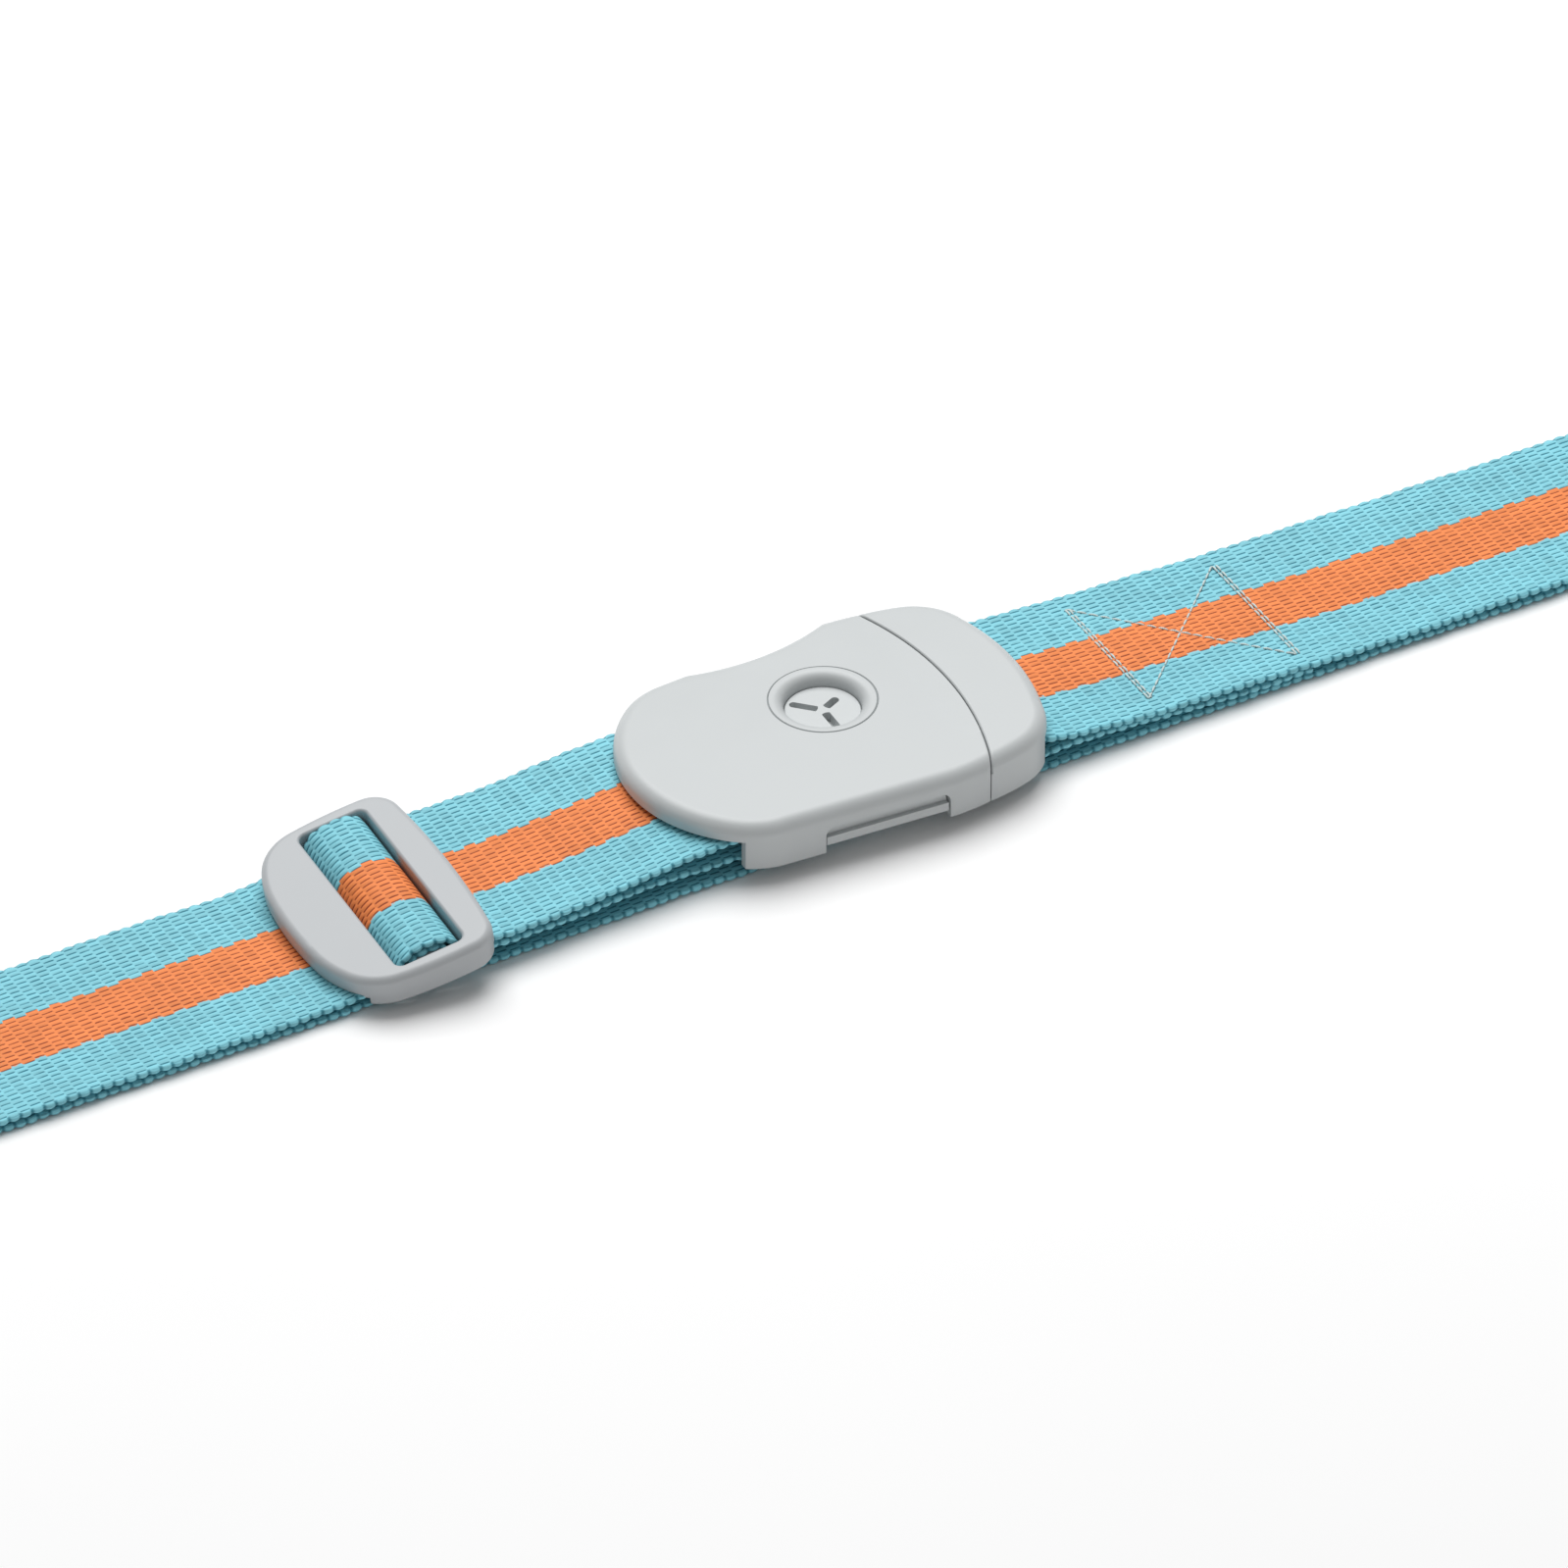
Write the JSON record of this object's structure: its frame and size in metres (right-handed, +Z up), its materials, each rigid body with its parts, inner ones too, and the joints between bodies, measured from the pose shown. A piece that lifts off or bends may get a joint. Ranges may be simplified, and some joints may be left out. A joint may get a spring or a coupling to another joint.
{
  "type": "luggage strap",
  "caption": "Flat webbing strap with a colour band, a D-shaped slide adjuster and a two-part side-press buckle with a turning lock plug",
  "frame": {"origin": "on the resting surface, on the strap's centre line, below the lock plug's place along the strap", "axes": "+X along the strap from the adjuster to the end cap, +Y across the strap, +Z up"},
  "size_m": [0.4915, 0.0675, 0.044],
  "materials": {
    "shell_grey": "fine satin moulded grey plastic",
    "plug_grey": "fine satin moulded grey plastic",
    "inner_grey": "plain moulded plastic",
    "steel": "plated steel",
    "webbing": "woven polyester webbing, teal with an orange middle band",
    "thread": "pale sewing thread"
  },
  "bodies": {
    "housing": {"top_cover": "shell_grey", "lower_case": "shell_grey", "strap_bar": "steel", "case_screws": "steel", "detent_ball": "steel", "detent_spring": "steel", "web_bottom": "webbing", "web_fold_left": "webbing", "web_top_left": "webbing", "web_mid": "webbing", "web_wrap": "webbing", "web_tail": "webbing"},
    "lock": {"lock_plug": "plug_grey", "lock_cam": "inner_grey", "cam_clip": "steel"},
    "end_cap": {"cap_upper": "shell_grey", "cap_lower": "shell_grey", "cap_bar": "steel", "cap_screws": "steel", "tongue": "inner_grey", "web_cap_loop": "webbing", "web_right": "webbing", "web_right_under": "webbing", "web_roll": "webbing", "box_stitching": "thread"},
    "near_arm": {"latch_arm_near": "shell_grey"},
    "far_arm": {"latch_arm_far": "shell_grey"},
    "adjuster": {"slider_frame": "shell_grey", "web_hump": "webbing", "web_bar_loop": "webbing", "slider_stitching": "thread"}
  },
  "joints": [
    {"name": "lock_turn", "type": "hinge", "parent": "housing", "child": "lock", "pos_m": [0, 0.0055, 0.009], "axis": [0, 0, 1], "range_deg": [0, 90]},
    {"name": "end_cap_pull", "type": "slide", "parent": "housing", "child": "end_cap", "axis": [1, 0, 0], "range_m": [0, 0.038], "deforming": ["latch_arm_near", "latch_arm_far"]},
    {"name": "near_arm_press", "type": "hinge", "parent": "end_cap", "child": "near_arm", "pos_m": [0.024, -0.0266, 0.0076], "axis": [0, 0, 1], "range_deg": [-5, 0], "stiffness_Nm_per_rad": 1.2},
    {"name": "far_arm_press", "type": "hinge", "parent": "end_cap", "child": "far_arm", "pos_m": [0.024, 0.0266, 0.0076], "axis": [0, 0, 1], "range_deg": [0, 5], "stiffness_Nm_per_rad": 1.2},
    {"name": "adjuster_slide", "type": "slide", "parent": "housing", "child": "adjuster", "axis": [-1, 0, 0], "range_m": [0, 0.05], "deforming": ["web_mid", "web_tail"]}
  ]
}
